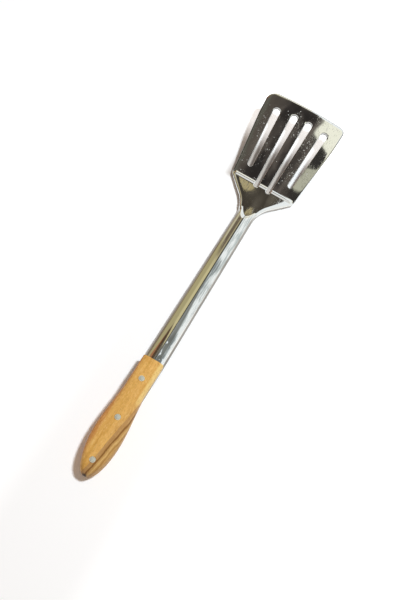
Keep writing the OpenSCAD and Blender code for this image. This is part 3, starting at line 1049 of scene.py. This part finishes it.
room_places = np.concatenate(
    [[JOINT_X + 1], np.linspace(JOINT_X - 3, FLANGE_END_X, 14), [TANG_X - TANG_CLEAR]]
)
rooms = [room_ring(x) for x in room_places]
rooms = [pinched(rooms[0], HALF_ROUND)] + rooms + [pinched(rooms[-1], HALF_ROUND)]
cut(back_scale, grid_piece("tang_room", rooms))
print("back scale with its room:", len(back_scale.data.polygons), "faces")

# %% [markdown]
# ## Rivets and burrs
# Three soft wires go through both scales and the tang. A burr, which is a thick washer, sits in
# the wood round each end, and the end is hammered into a low dome over it.

# %% Sizes of the rivets
RIVET_D = 2.6
RIVET_HEAD_D = 3.4
RIVET_HEAD_H = 0.35
BURR_D = 4.9
BURR_T = 0.9
BURR_PROUD = 0.3
BACK_INSET = 0.1
RIVET_CLEAR = 0.05
POCKET_GAP = 0.16
FIRST_RIVET_IN = 20.8
LAST_RIVET_IN = 11.8
MIDDLE_SHARE = 0.491
first_rivet, last_rivet = JOINT_X - FIRST_RIVET_IN, END_X + LAST_RIVET_IN
RIVETS = {
    "front": first_rivet,
    "middle": between(first_rivet, last_rivet, MIDDLE_SHARE),
    "rear": last_rivet,
}
print({place: round(x, 2) for place, x in RIVETS.items()})

# %% [markdown]
# Turned things start as a disc. It is extruded up and resized step by step along a profile, as
# a lathe hand would cut it, and the middle is closed by the disc itself.


# %% Turned pieces
def turned(name, profile, x, y, around=64):
    """A solid of revolution: a disc that is extruded and resized up a profile of (radius, z)."""
    bpy.ops.object.select_all(action="DESELECT")
    radius, z = profile[0]
    bpy.ops.mesh.primitive_circle_add(
        vertices=around, radius=radius * MM, fill_type="NGON", location=(x * MM, y * MM, z * MM)
    )
    piece = bpy.context.object
    piece.name = piece.data.name = name
    bpy.ops.object.transform_apply(location=True, rotation=True, scale=True)
    bpy.ops.object.mode_set(mode="EDIT")
    bpy.ops.mesh.select_mode(type="FACE")
    bpy.ops.mesh.select_all(action="SELECT")
    for (r0, z0), (r1, z1) in zip(profile, profile[1:]):
        bpy.ops.mesh.extrude_region_move(TRANSFORM_OT_translate={"value": (0, 0, (z1 - z0) * MM)})
        share = r1 / r0
        bpy.ops.transform.resize(value=(share, share, 1), center_override=(x * MM, y * MM, z1 * MM))
    bpy.ops.mesh.select_all(action="SELECT")
    bpy.ops.mesh.remove_doubles(threshold=1e-7)
    bpy.ops.mesh.normals_make_consistent(inside=False)
    bpy.ops.object.mode_set(mode="OBJECT")
    return piece


print("turning ready")

# %% [markdown]
# Each burr lies in a pocket, and a hair of shadow shows round it. One turned cutter a side
# makes the pocket and the rivet's hole together.

# %% Pockets in the wood
HOLE_R = RIVET_D / 2 + RIVET_CLEAR
POCKET_R = BURR_D / 2 + POCKET_GAP
WELL_ABOVE, WELL_BELOW, PAST_JOINT = 30.0, -5.0, 20.0
for place, x in RIVETS.items():
    y = grip_y(x)
    seat = grip_top(x) + BURR_PROUD - BURR_T
    top_cutter = [(HOLE_R, 0.0), (HOLE_R, seat), (POCKET_R, seat), (POCKET_R, WELL_ABOVE)]
    cut(top_scale, turned("pocket_cutter", top_cutter, x, y))
    seat = BACK_INSET + RIVET_HEAD_H + BURR_T
    back_cutter = [(POCKET_R, WELL_BELOW), (POCKET_R, seat), (HOLE_R, seat)]
    back_cutter.append((HOLE_R, PAST_JOINT))
    cut(back_scale, turned("pocket_cutter", back_cutter, x, y))
print("pockets cut in both scales")

# %% [markdown]
# The rivet's profile runs from the lower dome up the shank to the upper dome. The burr has a
# rounded rim. Round the upper head it has a fine groove, which shows as the dark ring between
# the grey head and the bright burr.


# %% Profiles of rivets and burrs
def dome(radius, rise_mm, z, up=1, steps=6):
    """Profile of a low dome from its rim to its middle."""
    angles = np.radians(np.linspace(10, 84, steps))
    return [(radius * math.cos(a), z + up * rise_mm * math.sin(a)) for a in angles]


def ring_piece(name, profile, x, y, around=64):
    """A ring with a closed profile of (radius, z), from a grid that is wrapped round."""
    rows = []
    for a in np.linspace(0.0, 2 * math.pi, around + 1):
        out_x, out_y = math.cos(a), math.sin(a)
        rows.append([(x + r * out_x, y + r * out_y, z) for r, z in profile + profile[:1]])
    return grid_piece(name, rows)


print("profiles ready")

# %% [markdown]
# Each rivet is turned in one piece with both heads. The top burrs stand a little proud of the
# wood, and the back ones are level with the planed face, so the handle rests flat.

# %% Rivets and burrs
rivet_parts, burr_parts = {}, {}
EDGE = 0.3
GROOVE_OUTER_R = 2.02
GROOVE_INNER_R = 1.78
QUARTER = np.radians((0, 22, 45, 67, 90))
for place, x in RIVETS.items():
    y = grip_y(x)
    shank, low_z = RIVET_D / 2, BACK_INSET + RIVET_HEAD_H
    high = grip_top(x) + BURR_PROUD
    profile = dome(RIVET_HEAD_D / 2, RIVET_HEAD_H, low_z, up=-1)[::-1]
    profile += [(shank, low_z), (shank, high)] + dome(RIVET_HEAD_D / 2, RIVET_HEAD_H, high)
    rivet_parts[place] = turned(f"rivet_{place}_turned", profile, x, y)
    for side, low in (("top", high - BURR_T), ("back", low_z)):
        rim = BURR_D / 2 - EDGE
        lower = [(rim + EDGE * math.sin(a), low + EDGE * (1 - math.cos(a))) for a in QUARTER]
        top = low + BURR_T
        upper = [(rim + EDGE * math.cos(a), top - EDGE * (1 - math.sin(a))) for a in QUARTER]
        burr_profile = [(HOLE_R, low), *lower, *upper]
        if side == "top":
            groove_z = high - EDGE
            burr_profile += [(GROOVE_OUTER_R, high), (GROOVE_INNER_R, groove_z)]
            burr_profile.append((HOLE_R, groove_z))
        else:
            burr_profile.append((HOLE_R, top))
        name = f"{side}_burr_{place}"
        burr_parts[name] = ring_piece(name + "_ring", burr_profile, x, y)
print("rivets and burrs made:", len(rivet_parts) + len(burr_parts))

# %% [markdown]
# Each piece is smoothed, stands for its CAD node and rides on the tool's one body.

# %% Put the pieces in their places
for scale, node in ((top_scale, "top_scale"), (back_scale, "back_scale")):
    smooth(scale, 40)
    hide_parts(node)
    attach(scale, "root")
for place, piece in rivet_parts.items():
    smooth(piece, 50)
    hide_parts(f"rivet_{place}")
    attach(piece, "root")
for name, piece in burr_parts.items():
    smooth(piece, 50)
    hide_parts(name)
    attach(piece, "root")
print("pieces in place:", 3 + len(rivet_parts) + len(burr_parts))

# %% [markdown]
# ## Materials
# A coat is one material on all the pieces that were finished together in the shop.


# %% Coats
def coat(pieces, material):
    """Gives the material to each piece, in place of what it had."""
    for piece in pieces:
        piece.data.materials.clear()
        piece.data.materials.append(material)


print("coats ready")

# %% [markdown]
# ## Polished steel
# The steel is a mirror with a history: hair scratches from wiping, pale dust specks, and a face
# that waves a little. All of it is noise on Object coordinates, stretched along the direction
# in which a cloth or a wheel would move.

# %% Steel: scratches and specks
steel = bpy.data.materials.new("polished_steel")
sh = Shader(steel)
x, y, z = sh.place()
wave = sh.noise(sh.position, 34.0, 2.0, 0.4)
hair = sh.noise(sh.stretched(sh.position, (110.0, 2600.0, 900.0), (0.0, 0.0, 0.35)), 1.0, 3.0)
cross = sh.noise(sh.stretched(sh.position, (2200.0, 120.0, 900.0), (0.0, 0.0, 0.2)), 1.0, 2.0)
patchy = sh.noise(sh.position, 48.0, 3.0)
scratches = (hair.step(0.58, 0.70) + cross.step(0.64, 0.74) * 0.7) * patchy.step(0.42, 0.60)
along, across, height = x * 1000.0, y * 1000.0, z * 1000.0
blade_area = along.step(112.0, 118.0)

# Dust lies on the blade as fine pale specks.
dots = sh.out(sh.node("TexVoronoi", {"feature": "F1"}, Vector=sh.position, Scale=520.0), "Distance")
chance = sh.noise(sh.position, 300.0, 1.0)
near_middle = across.size().step(34.0, 12.0)
here = (chance * 0.5 + patchy * 0.5 + near_middle * 0.03).step(0.54, 0.62)
specks = dots.step(0.30, 0.16) * here * blade_area
specks = specks * (0.35 + chance * 0.5)
print("specks ready")

# %% [markdown]
# The outermost hair of the blade's edge is darker. Its place is worked out
# from the blade's own plan, as a distance from the outline with its round corners.

# %% Steel: hairline along the blade
reach = ((along - HEEL_X) / (BLADE_L * math.cos(BLADE_PITCH))).high(0.0).low(1.0)
wave_up = ((reach - 0.5) * math.pi).sine() * 0.5 + 0.5
widening = (BLADE_TIP_HW - BLADE_ROOT_HW) / 2
side_here = ((reach * (math.pi / 2)).sine() + wave_up) * widening + BLADE_ROOT_HW
from_side = side_here - across.size()
front_middle = HEEL_X + BLADE_L * math.cos(BLADE_PITCH)
front_here = front_middle - across * across * (math.cos(BLADE_PITCH) / 2 / FRONT_EDGE_R)
from_front = front_here - along
corner = CORNER_RIGHT_R + across.step(-2.0, 2.0) * (CORNER_LEFT_R - CORNER_RIGHT_R)
past_side, past_front = (corner - from_side).high(0.0), (corner - from_front).high(0.0)
from_edge = corner - (past_side * past_side + past_front * past_front).root()
hairline = (from_edge + from_front.step(3.0, 1.5) * 0.4).step(1.05, 0.6) * blade_area
print("hairline ready")

# %% [markdown]
# The walls of the slots are cut, not polished, so they are rougher, and their colour is painted
# nearly black as painted shade, which gives each slot's front end a dark crescent. A point is on a
# wall when it lies below the upper face of the blade and inside its outline.

# %% Steel: slot walls
below_face = (
    HEEL_Z + SHEET_T / 2 / math.cos(BLADE_PITCH) + (along - HEEL_X) * math.tan(BLADE_PITCH) - height
) * math.cos(BLADE_PITCH)
inside_outline = across.size().step(38.0, 34.0) * along.step(196.0, 192.0)
walls = below_face.step(0.20, 0.38) * along.step(118.0, 121.0) * inside_outline
print("slot walls ready")

# %% [markdown]
# On the shaft the left flank is tinted brown in fine lines, a painted reflection of the table's
# shadow, and the right one is painted in grey patches, also a painted reflection. A painted dark
# reflection lies as a strip along the crown and widens towards the handle, and the foot of the
# flanges is painted darker, as painted shade from the table.

# %% Steel: areas of the shaft
shaft_hw_here = JOINT_HW + (JOINT_X - along) * ((JOINT_HW - NECK_HW) / SHAFT_L)
aside = across / shaft_hw_here
lines = sh.noise(sh.stretched(sh.position, (9.0, 1500.0, 700.0)), 1.0, 2.0, 0.6)
cloud = sh.noise(sh.stretched(sh.position, (60.0, 420.0, 200.0)), 1.0, 3.0, 0.6)
on_shaft = along.step(86.0, 72.0)
left_band = aside.step(0.66, 0.72) * on_shaft
right_half = (aside * -1.0).step(0.04, 0.12) * on_shaft
near_joint = along.step(-50.0, -68.0)
mid_reflection = along.step(-28.0, -8.0) * along.step(32.0, 16.0) * aside.step(-0.62, -0.40)
toward_joint = along.step(24.0, -78.0)
from_strip = (aside + 0.03 + toward_joint * 0.22).size()
dark_strip = from_strip.step(0.09 + toward_joint * 0.20, 0.02 + toward_joint * 0.12)
foot = height.step(6.0, 4.8) * along.step(84.0, 74.0)
foot = foot.high(height.step(3.9, 3.1) * along.step(74.0, 84.0) * along.step(122.0, 116.0))
print("areas of the shaft ready")

# %% [markdown]
# The tint starts with the painted brown lines of the left flank and is laid over, area by area,
# from the largest to the smallest.

# %% Steel: tint
# Painted reflection: brown and olive lines of the table's shadow on the left flank, and a darker
# brown edge.
tint = sh.mix(lines.step(0.38, 0.62), plain(0.11, 0.075, 0.05), plain(0.40, 0.34, 0.24))
tint = sh.mix(aside.step(0.90, 0.95), tint, plain(0.20, 0.155, 0.11))
tint = sh.mix(left_band, plain(0.86, 0.86, 0.83), tint)
# Painted reflection: grey patches on the right flank, darker in the middle of the shaft and near
# the joint.
streaks = cloud * 0.6 + lines * 0.4
grey = sh.mix(streaks.step(0.40, 0.56), plain(0.50, 0.53, 0.50), plain(0.88, 0.88, 0.84))
reflection_grey = sh.mix(streaks.step(0.42, 0.60), plain(0.16, 0.18, 0.175), plain(0.66, 0.69, 0.66))
dark_reflection_share = (mid_reflection * 0.8).high(near_joint * aside.step(-0.74, -0.5))
grey = sh.mix(dark_reflection_share, grey, reflection_grey)
tint = sh.mix(right_half, tint, grey)
# Painted dark reflection: a strip along the crown that widens towards the handle.
tint = sh.mix(dark_strip * on_shaft * 0.85, tint, plain(0.13, 0.13, 0.11))
# Painted highlights: white glints on the right flank near the joint.
glints = sh.noise(sh.stretched(sh.position, (200.0, 420.0, 200.0)), 1.0, 2.0).step(0.58, 0.66)
tint = sh.mix(glints * near_joint * right_half * 0.9, tint, plain(0.92, 0.94, 0.92))
# Painted dark reflection: a thin line along the right edge of the shaft, strongest near the joint.
edge_line = aside.step(-0.86, -0.94) * on_shaft * (0.7 + near_joint * 0.3)
tint = sh.mix(edge_line, tint, plain(0.10, 0.10, 0.075))
tint = sh.mix(specks * 0.9, tint, plain(0.86, 0.86, 0.84))
# Painted shade: the slot walls nearly black.
tint = sh.mix(walls * 0.95, tint, plain(0.05, 0.045, 0.04))
# Painted shade: the foot of the flanges, darker as if in the table's shadow.
tint = sh.mix(foot * (0.7 + across.step(-1.0, 1.0) * 0.25), tint, plain(0.22, 0.19, 0.16))
tint = sh.mix(hairline * 0.75, tint, plain(0.14, 0.13, 0.11))
print("tint ready")

# %% [markdown]
# Scratches and specks scatter the mirror a little, and a slow wave bends it, so no reflection
# is quite straight.

# %% Steel: surface
bump = sh.node("Bump", None, Strength=0.5, Distance=0.0001, Height=wave + hair * 0.01)
rough = 0.02 + scratches * 0.22 + specks * 0.3 + walls * 0.4 + right_half * cloud * 0.08
metal = sh.node(
    "BsdfPrincipled",
    None,
    Base_Color=tint,
    Metallic=1.0 - specks * 0.85,
    Roughness=rough,
    Normal=sh.out(bump),
)
sh.node("OutputMaterial", None, Surface=sh.out(metal))
coat([sheet], steel)
print("steel ready with", len(steel.node_tree.nodes), "nodes")

# %% [markdown]
# ## The wood of the handle
# The board was cut where pale sapwood meets brown heartwood, so the border and the dark lines
# of the heart run along the handle at a slant. Noise is stretched along the grain: long waves
# for the growth lines, short ones for fibres and flecks, and dots for the open pores.

# %% Wood: grain
wood = bpy.data.materials.new("handle_wood")
sh = Shader(wood)
x, y, z = sh.place()
along, across, height = x * 1000.0, y * 1000.0, z * 1000.0
wander = sh.noise(sh.stretched(sh.position, (16.0, 60.0, 60.0)), 1.0, 2.0) - 0.5
ripple = sh.noise(sh.stretched(sh.position, (90.0, 220.0, 220.0)), 1.0, 2.0) - 0.5
fibre = sh.noise(sh.stretched(sh.position, (40.0, 900.0, 900.0)), 1.0, 4.0, 0.65)
band = sh.noise(sh.stretched(sh.position, (10.0, 190.0, 190.0)), 1.0, 3.0, 0.55)
mottle = sh.noise(sh.position, 120.0, 3.0)
print("grain ready")

# %% [markdown]
# The sapwood is a warm yellow. Along the right edge it is painted paler, a painted highlight where
# the rounded edge faces the lamp, and along the left one redder and darker, painted shade where
# that edge faces away.

# %% Wood: sapwood
# The heartwood lies to the right of a line that runs from the right edge back to the end.
BORDER_Y = -10.2
BORDER_FROM_X = -128.0
BORDER_SLANT = 0.155
line = BORDER_Y - (along - BORDER_FROM_X) * BORDER_SLANT
depth = line - across + wander * 2.2 + ripple * 0.9 - (height - 17.0).low(0.0) * 0.25
heart = depth.step(-0.1, 0.25)

sap = sh.mix(band.step(0.35, 0.65), paint(208, 157, 78), paint(228, 179, 101))
sap = sh.mix(mottle.step(0.4, 0.75) * 0.3, sap, paint(204, 146, 76))
before_heart = (depth + 5.5).step(0.0, 4.5)
before_heart = before_heart * along.step(-170.0, -160.0) * along.step(-122.0, -134.0)
sap = sh.mix(before_heart * 0.5, sap, paint(204, 156, 92))
# Painted highlight: a paler band along the right edge near the front, where the rounded edge faces
# the lamp.
lit_right_edge = (-across - 5.6 + wander * 2.0).step(0.0, 1.6) * along.step(-138.0, -126.0)
sap = sh.mix(lit_right_edge * 0.75, sap, paint(238, 208, 136))
# Painted shade: a redder, darker band along the left edge, which faces away from the lamp.
shaded_left_edge = (across - 6.6 + wander).step(0.0, 2.6)
sap = sh.mix(shaded_left_edge * 0.8, sap, paint(204, 138, 76))
print("sapwood ready")

# %% [markdown]
# The heartwood is brown, with one dark line, one light line and a weak second dark one, all
# parallel to the border.

# %% Wood: heartwood
dark_line = (depth - 3.6 + ripple * 1.2).size().step(0.95, 0.35)
light_line = (depth - 5.9 + ripple * 1.6).size().step(0.8, 0.2)
second_line = (depth - 7.6 + wander * 2.0).size().step(0.6, 0.15)
brown = sh.mix(band.step(0.3, 0.7), paint(172, 126, 74), paint(192, 150, 96))
brown = sh.mix(depth.step(3.4, 5.2) * 0.8, brown, paint(192, 150, 86))
brown = sh.mix(light_line * 0.6, brown, paint(222, 186, 122))
brown = sh.mix(dark_line * 0.9, brown, paint(128, 86, 40))
brown = sh.mix(second_line * 0.6, brown, paint(146, 104, 54))
color = sh.mix(heart, sap, brown)
print("heartwood ready")

# %% [markdown]
# Small things come last: flecks of both shades, fibres, open pores and a dark spot at the tip.

# %% Wood: flecks, pores and the dark spot at the tip
DARK_SPOT_FROM_X = -199.3
fleck = sh.noise(sh.stretched(sh.position, (330.0, 800.0, 800.0)), 1.0, 2.0, 0.7)
color = sh.mix(fleck.step(0.54, 0.66) * 0.28, color, paint(168, 118, 60))
color = sh.mix(fleck.step(0.46, 0.34) * (0.28 - heart * 0.18), color, paint(246, 212, 146))
color = sh.mix(fibre.step(0.5, 0.8) * 0.25, color, paint(160, 108, 56))
pores = sh.noise(sh.stretched(sh.position, (260.0, 3000.0, 3000.0)), 1.0, 1.0).step(0.66, 0.76)
color = sh.mix(pores * 0.45, color, paint(120, 78, 40))
# A dark spot on the end of the handle, near its middle.
dark_end_spot = (along - DARK_SPOT_FROM_X + wander).step(0.0, -1.0) * (across + 1.2).size().step(2.6, 1.2)
color = sh.mix(dark_end_spot * 0.9, color, paint(38, 28, 20))
print("flecks and pores ready")

# %% [markdown]
# An oiled handle has a soft sheen. The pores are a little deep and the fibres a little rough.

# %% Wood: oiled surface
height_map = fibre * 0.5 + band * 0.3 - pores * 0.9
bump = sh.node("Bump", None, Strength=0.35, Distance=0.0002, Height=height_map)
finish = sh.node(
    "BsdfPrincipled",
    None,
    Base_Color=color,
    Roughness=0.42 + fibre * 0.16,
    Specular_IOR_Level=0.25,
    Normal=sh.out(bump),
)
sh.node("OutputMaterial", None, Surface=sh.out(finish))
coat([top_scale, back_scale], wood)
print("wood ready with", len(wood.node_tree.nodes), "nodes")

# %% [markdown]
# ## Rivets and burrs: the metal
# Hammered heads are dull, with small dents, and a soft metal of this kind has a warm grey. The
# burrs are smoother and brighter, as washers from a press are.

# %% Rivet metal
rivet_metal = bpy.data.materials.new("rivet_metal")
sh = Shader(rivet_metal)
sh.place()
dents = sh.noise(sh.position, 900.0, 2.0)
bump = sh.node("Bump", None, Strength=0.4, Distance=0.0002, Height=dents)
finish = sh.node(
    "BsdfPrincipled",
    None,
    Base_Color=plain(0.62, 0.63, 0.54),
    Metallic=0.55,
    Roughness=0.5,
    Normal=sh.out(bump),
)
sh.node("OutputMaterial", None, Surface=sh.out(finish))
coat(rivet_parts.values(), rivet_metal)
print("rivet metal ready")

# %% [markdown]
# The burrs have finer dents and less roughness than the heads.

# %% Burr metal
burr_metal = bpy.data.materials.new("burr_metal")
sh = Shader(burr_metal)
sh.place()
dents = sh.noise(sh.position, 1400.0, 2.0)
bump = sh.node("Bump", None, Strength=0.3, Distance=0.0001, Height=dents)
finish = sh.node(
    "BsdfPrincipled",
    None,
    Base_Color=plain(0.84, 0.84, 0.72),
    Metallic=0.55,
    Roughness=0.34 + dents * 0.1,
    Normal=sh.out(bump),
)
sh.node("OutputMaterial", None, Surface=sh.out(finish))
coat(burr_parts.values(), burr_metal)
print("rivets and burrs coated")

# %% [markdown]
# ## The floor's paint
# The table is white paper. It glows a little, only for the camera and for mirror rays, so the
# background is white while the shadow near the tool stays. Under the blade's front the glow is
# strong, a painted pool of light that lifts the blade's shadow there. One patch under the heel is
# painted darker, a painted shadow that greys the lower halves of the slots.

# %% Floor paint
floor_paint = bpy.data.materials.new("floor_paint")
sh = Shader(floor_paint)
light_path = sh.node("LightPath")
seen = sh.out(light_path, "Is Camera Ray").high(sh.out(light_path, "Is Glossy Ray"))
seen = seen.high(sh.out(light_path, "Is Transmission Ray"))
x, y, z = sh.place()
away = y.size().step(0.030, 0.060)
# Painted light: a strong glow on the floor under the blade's front, which lifts the blade's shadow
# there.
lit_under_front = x.step(0.150, 0.180) * y.size().step(0.060, 0.050)
bright = sh.mix(away, plain(0.08), plain(0.18))
bright = sh.mix(lit_under_front, bright, plain(0.66))
far = (x * x + y * y).root().step(0.42, 1.1)
bright = sh.mix(far, bright, plain(0.95))
glow = sh.mix(seen, plain(0.0), bright)
# Painted shadow: a darker patch of floor under the heel.
shaded_under_heel = x.step(0.108, 0.114) * x.step(0.165, 0.145)
shaded_under_heel = shaded_under_heel * y.step(-0.020, -0.012) * y.step(0.040, 0.032)
paint_color = sh.mix(shaded_under_heel, plain(0.97), plain(0.55, 0.50, 0.45))
matte = sh.node(
    "BsdfPrincipled",
    None,
    Base_Color=paint_color,
    Roughness=0.9,
    Emission_Color=glow,
    Emission_Strength=1.0,
)
sh.node("OutputMaterial", None, Surface=sh.out(matte))
floor.data.materials.append(floor_paint)
print("floor painted")

# %% [markdown]
# ## Sizes and the end
# The box of the dressed turner is printed.

# %% Print the box of the dressed turner
low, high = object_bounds()
print("visual box", tuple(low), tuple(high))
